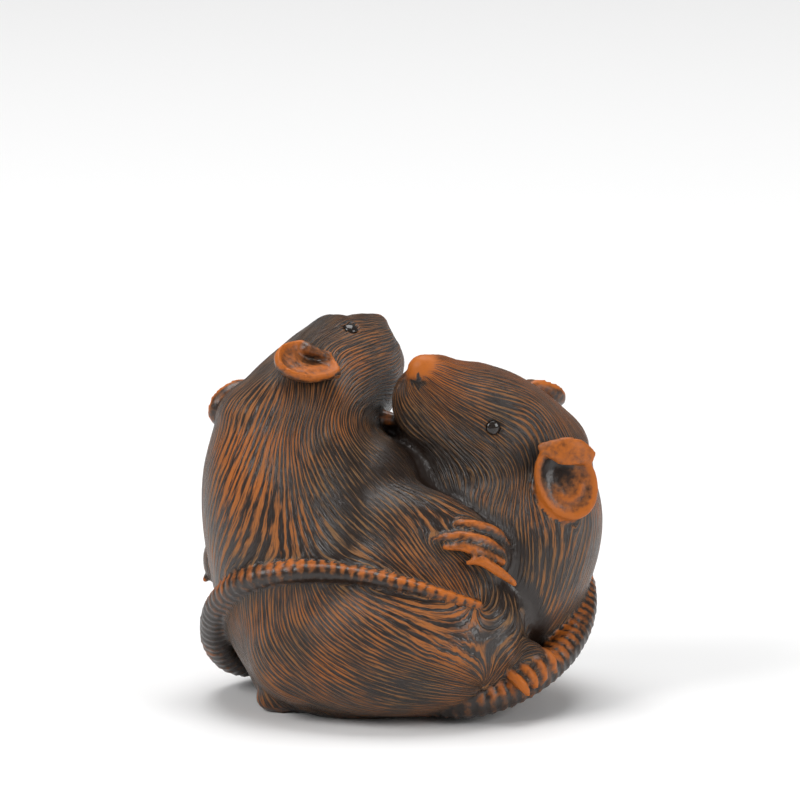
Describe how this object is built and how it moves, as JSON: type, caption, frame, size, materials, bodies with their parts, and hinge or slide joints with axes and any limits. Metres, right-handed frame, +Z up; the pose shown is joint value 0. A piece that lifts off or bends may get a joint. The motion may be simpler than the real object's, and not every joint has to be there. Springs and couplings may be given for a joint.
{
  "type": "carved netsuke",
  "caption": "Netsuke toggle carved from stained wood as plump rats curled together nose to nose, tails laid over each other's haunches, with inlaid dark eyes.",
  "frame": {"origin": "centre of the bounding box in plan, on the surface the carving rests on", "axes": "+Z up, +X to the right as seen in the main view, +Y away from the viewer"},
  "size_m": [0.0404, 0.0334, 0.0376],
  "materials": {
    "stained_wood": "carved with fine hair lines, stained dark, worn to orange on the high spots, satin",
    "dark_horn": "polished dark horn"
  },
  "bodies": {
    "root": {"two_rats_carving": "stained_wood", "first_rat_right_eye": "dark_horn", "first_rat_left_eye": "dark_horn", "second_rat_right_eye": "dark_horn", "second_rat_left_eye": "dark_horn"}
  },
  "joints": []
}
